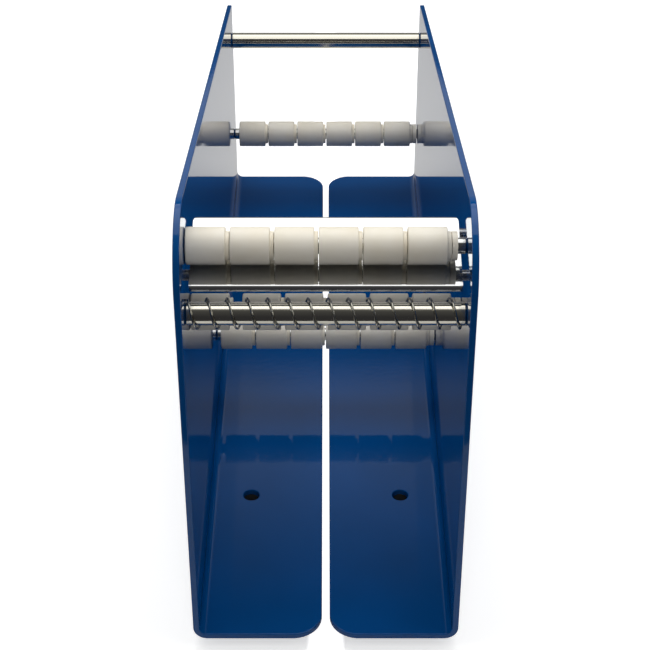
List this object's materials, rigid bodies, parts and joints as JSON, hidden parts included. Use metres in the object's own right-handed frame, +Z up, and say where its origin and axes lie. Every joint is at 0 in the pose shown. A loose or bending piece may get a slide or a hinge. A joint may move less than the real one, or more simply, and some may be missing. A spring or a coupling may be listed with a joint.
{
  "type": "label dispenser",
  "caption": "Bench-top manual label dispenser: bent sheet sides carry rows of loose rollers for a label roll, a peel plate, and a coil-wound rod that holds out each peeled label.",
  "frame": {"origin": "centre of the machine's footprint at the underside of its rubber feet", "axes": "+Y runs along the machine's length to the rear, away from the peeled label; +X to the right as seen from the front; +Z up from the bench"},
  "size_m": [0.1698, 0.585, 0.3087],
  "materials": {
    "frame_powder_coat": "glossy blue powder coat",
    "foot_rubber": "moulded black rubber",
    "roller_plastic": "moulded off-white plastic",
    "collar_plastic": "moulded off-white plastic",
    "chrome_shaft": "bright plated bar",
    "plated_rod": "bright plated bar",
    "polished_steel_plate": "polished",
    "steel_spacer": "turned",
    "coil_wire": "drawn spring wire",
    "black_screw": "black oxide"
  },
  "bodies": {
    "chassis": {"left_side_frame": "frame_powder_coat", "right_side_frame": "frame_powder_coat", "rubber_feet": "foot_rubber", "peel_plate": "polished_steel_plate", "plate_spacers": "steel_spacer", "label_rod": "plated_rod", "rear_tie_rod": "plated_rod", "label_coil": "coil_wire", "peel_shaft": "chrome_shaft", "liner_shaft": "chrome_shaft", "front_cradle_shaft": "chrome_shaft", "rear_cradle_shaft": "chrome_shaft", "peel_collar": "collar_plastic", "liner_collar": "collar_plastic", "front_cradle_collar": "collar_plastic", "rear_cradle_collar": "collar_plastic", "left_rod_screws": "black_screw", "right_rod_screws": "black_screw", "left_plate_screws": "black_screw", "right_plate_screws": "black_screw"},
    "peel_roller_1_body": {"peel_roller_1": "roller_plastic"},
    "peel_roller_2_body": {"peel_roller_2": "roller_plastic"},
    "peel_roller_3_body": {"peel_roller_3": "roller_plastic"},
    "peel_roller_4_body": {"peel_roller_4": "roller_plastic"},
    "peel_roller_5_body": {"peel_roller_5": "roller_plastic"},
    "peel_roller_6_body": {"peel_roller_6": "roller_plastic"},
    "liner_roller_1_body": {"liner_roller_1": "roller_plastic"},
    "liner_roller_2_body": {"liner_roller_2": "roller_plastic"},
    "liner_roller_3_body": {"liner_roller_3": "roller_plastic"},
    "liner_roller_4_body": {"liner_roller_4": "roller_plastic"},
    "liner_roller_5_body": {"liner_roller_5": "roller_plastic"},
    "liner_roller_6_body": {"liner_roller_6": "roller_plastic"},
    "front_cradle_roller_1_body": {"front_cradle_roller_1": "roller_plastic"},
    "front_cradle_roller_2_body": {"front_cradle_roller_2": "roller_plastic"},
    "front_cradle_roller_3_body": {"front_cradle_roller_3": "roller_plastic"},
    "front_cradle_roller_4_body": {"front_cradle_roller_4": "roller_plastic"},
    "front_cradle_roller_5_body": {"front_cradle_roller_5": "roller_plastic"},
    "front_cradle_roller_6_body": {"front_cradle_roller_6": "roller_plastic"},
    "rear_cradle_roller_1_body": {"rear_cradle_roller_1": "roller_plastic"},
    "rear_cradle_roller_2_body": {"rear_cradle_roller_2": "roller_plastic"},
    "rear_cradle_roller_3_body": {"rear_cradle_roller_3": "roller_plastic"},
    "rear_cradle_roller_4_body": {"rear_cradle_roller_4": "roller_plastic"},
    "rear_cradle_roller_5_body": {"rear_cradle_roller_5": "roller_plastic"},
    "rear_cradle_roller_6_body": {"rear_cradle_roller_6": "roller_plastic"}
  },
  "joints": [
    {"name": "peel_roller_1_spin", "type": "hinge", "parent": "chassis", "child": "peel_roller_1_body", "pos_m": [0, -0.2465, 0.27567], "axis": [1, 0, 0], "continuous": true},
    {"name": "peel_roller_2_spin", "type": "hinge", "parent": "chassis", "child": "peel_roller_2_body", "pos_m": [0, -0.2465, 0.27567], "axis": [1, 0, 0], "continuous": true},
    {"name": "peel_roller_3_spin", "type": "hinge", "parent": "chassis", "child": "peel_roller_3_body", "pos_m": [0, -0.2465, 0.27567], "axis": [1, 0, 0], "continuous": true},
    {"name": "peel_roller_4_spin", "type": "hinge", "parent": "chassis", "child": "peel_roller_4_body", "pos_m": [0, -0.2465, 0.27567], "axis": [1, 0, 0], "continuous": true},
    {"name": "peel_roller_5_spin", "type": "hinge", "parent": "chassis", "child": "peel_roller_5_body", "pos_m": [0, -0.2465, 0.27567], "axis": [1, 0, 0], "continuous": true},
    {"name": "peel_roller_6_spin", "type": "hinge", "parent": "chassis", "child": "peel_roller_6_body", "pos_m": [0, -0.2465, 0.27567], "axis": [1, 0, 0], "continuous": true},
    {"name": "liner_roller_1_spin", "type": "hinge", "parent": "chassis", "child": "liner_roller_1_body", "pos_m": [0, -0.2345, 0.22137], "axis": [1, 0, 0], "continuous": true},
    {"name": "liner_roller_2_spin", "type": "hinge", "parent": "chassis", "child": "liner_roller_2_body", "pos_m": [0, -0.2345, 0.22137], "axis": [1, 0, 0], "continuous": true},
    {"name": "liner_roller_3_spin", "type": "hinge", "parent": "chassis", "child": "liner_roller_3_body", "pos_m": [0, -0.2345, 0.22137], "axis": [1, 0, 0], "continuous": true},
    {"name": "liner_roller_4_spin", "type": "hinge", "parent": "chassis", "child": "liner_roller_4_body", "pos_m": [0, -0.2345, 0.22137], "axis": [1, 0, 0], "continuous": true},
    {"name": "liner_roller_5_spin", "type": "hinge", "parent": "chassis", "child": "liner_roller_5_body", "pos_m": [0, -0.2345, 0.22137], "axis": [1, 0, 0], "continuous": true},
    {"name": "liner_roller_6_spin", "type": "hinge", "parent": "chassis", "child": "liner_roller_6_body", "pos_m": [0, -0.2345, 0.22137], "axis": [1, 0, 0], "continuous": true},
    {"name": "front_cradle_roller_1_spin", "type": "hinge", "parent": "chassis", "child": "front_cradle_roller_1_body", "pos_m": [0, -0.0365, 0.065], "axis": [1, 0, 0], "continuous": true},
    {"name": "front_cradle_roller_2_spin", "type": "hinge", "parent": "chassis", "child": "front_cradle_roller_2_body", "pos_m": [0, -0.0365, 0.065], "axis": [1, 0, 0], "continuous": true},
    {"name": "front_cradle_roller_3_spin", "type": "hinge", "parent": "chassis", "child": "front_cradle_roller_3_body", "pos_m": [0, -0.0365, 0.065], "axis": [1, 0, 0], "continuous": true},
    {"name": "front_cradle_roller_4_spin", "type": "hinge", "parent": "chassis", "child": "front_cradle_roller_4_body", "pos_m": [0, -0.0365, 0.065], "axis": [1, 0, 0], "continuous": true},
    {"name": "front_cradle_roller_5_spin", "type": "hinge", "parent": "chassis", "child": "front_cradle_roller_5_body", "pos_m": [0, -0.0365, 0.065], "axis": [1, 0, 0], "continuous": true},
    {"name": "front_cradle_roller_6_spin", "type": "hinge", "parent": "chassis", "child": "front_cradle_roller_6_body", "pos_m": [0, -0.0365, 0.065], "axis": [1, 0, 0], "continuous": true},
    {"name": "rear_cradle_roller_1_spin", "type": "hinge", "parent": "chassis", "child": "rear_cradle_roller_1_body", "pos_m": [0, 0.2725, 0.065], "axis": [1, 0, 0], "continuous": true},
    {"name": "rear_cradle_roller_2_spin", "type": "hinge", "parent": "chassis", "child": "rear_cradle_roller_2_body", "pos_m": [0, 0.2725, 0.065], "axis": [1, 0, 0], "continuous": true},
    {"name": "rear_cradle_roller_3_spin", "type": "hinge", "parent": "chassis", "child": "rear_cradle_roller_3_body", "pos_m": [0, 0.2725, 0.065], "axis": [1, 0, 0], "continuous": true},
    {"name": "rear_cradle_roller_4_spin", "type": "hinge", "parent": "chassis", "child": "rear_cradle_roller_4_body", "pos_m": [0, 0.2725, 0.065], "axis": [1, 0, 0], "continuous": true},
    {"name": "rear_cradle_roller_5_spin", "type": "hinge", "parent": "chassis", "child": "rear_cradle_roller_5_body", "pos_m": [0, 0.2725, 0.065], "axis": [1, 0, 0], "continuous": true},
    {"name": "rear_cradle_roller_6_spin", "type": "hinge", "parent": "chassis", "child": "rear_cradle_roller_6_body", "pos_m": [0, 0.2725, 0.065], "axis": [1, 0, 0], "continuous": true}
  ]
}
